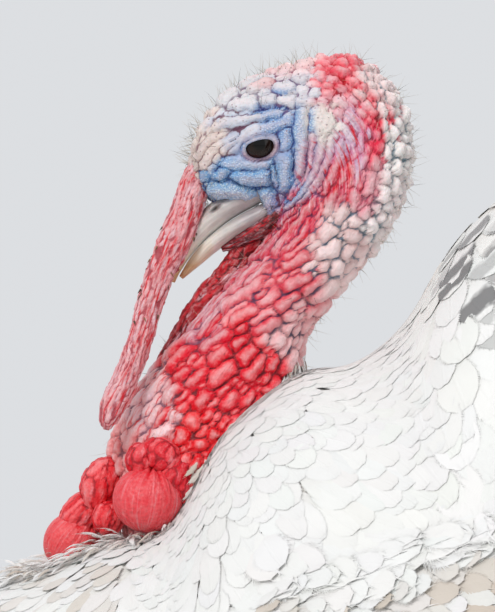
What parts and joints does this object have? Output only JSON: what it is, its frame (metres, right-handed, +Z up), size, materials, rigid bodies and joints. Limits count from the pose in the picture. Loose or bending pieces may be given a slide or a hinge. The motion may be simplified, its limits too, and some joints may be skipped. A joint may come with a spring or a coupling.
{
  "type": "domestic turkey",
  "caption": "Life-size male domestic turkey in display, white plumage with dark-banded back and raised tail fan, bare blue, white and red head and neck with a long snood.",
  "frame": {"origin": "on the floor, under the middle of the bird's bounding box", "axes": "+Z up, the bird faces -X, its left side is towards -Y"},
  "size_m": [0.5564, 0.804, 0.8276],
  "materials": {
    "white_feather": "matt white contour and flight feathers, dark bands on the back, wings and tail",
    "red_skin": "moist cobbled bare skin, pink to saturated red",
    "blue_skin": "finely stippled bare skin, sky blue round the eye, cream white on the crown",
    "horn": "satin horn of bill, claws and spurs",
    "eye_brown": "wet gloss, dark brown iris and black pupil",
    "scaled_leg": "scaled pinkish grey leg skin",
    "bristle": "coarse black bristles"
  },
  "bodies": {
    "root": {"beard": "bristle", "bill_lower": "horn", "bill_upper": "horn", "caruncle_front": "red_skin", "caruncle_left": "red_skin", "caruncle_right": "red_skin", "claw_left_hind": "horn", "claw_left_inner": "horn", "claw_left_middle": "horn", "claw_left_outer": "horn", "claw_right_hind": "horn", "claw_right_inner": "horn", "claw_right_middle": "horn", "claw_right_outer": "horn", "dewlap": "red_skin", "eye_left": "eye_brown", "eye_right": "eye_brown", "foot_left": "scaled_leg", "foot_right": "scaled_leg", "head": "blue_skin", "neck": "red_skin", "shank_left": "scaled_leg", "shank_right": "scaled_leg", "snood": "red_skin", "spur_left": "horn", "spur_right": "horn", "tail_coverts_under": "white_feather", "tail_coverts_upper": "white_feather", "tail_feather_01": "white_feather", "tail_feather_02": "white_feather", "tail_feather_03": "white_feather", "tail_feather_04": "white_feather", "tail_feather_05": "white_feather", "tail_feather_06": "white_feather", "tail_feather_07": "white_feather", "tail_feather_08": "white_feather", "tail_feather_09": "white_feather", "tail_feather_10": "white_feather", "tail_feather_11": "white_feather", "tail_feather_12": "white_feather", "tail_feather_13": "white_feather", "tail_feather_14": "white_feather", "tail_feather_15": "white_feather", "tail_feather_16": "white_feather", "tail_feather_17": "white_feather", "tail_feather_18": "white_feather", "thigh_left": "white_feather", "thigh_right": "white_feather", "trunk": "white_feather", "wing_left_coverts": "white_feather", "wing_left_primaries": "white_feather", "wing_left_secondaries": "white_feather", "wing_right_coverts": "white_feather", "wing_right_primaries": "white_feather", "wing_right_secondaries": "white_feather"}
  },
  "joints": []
}
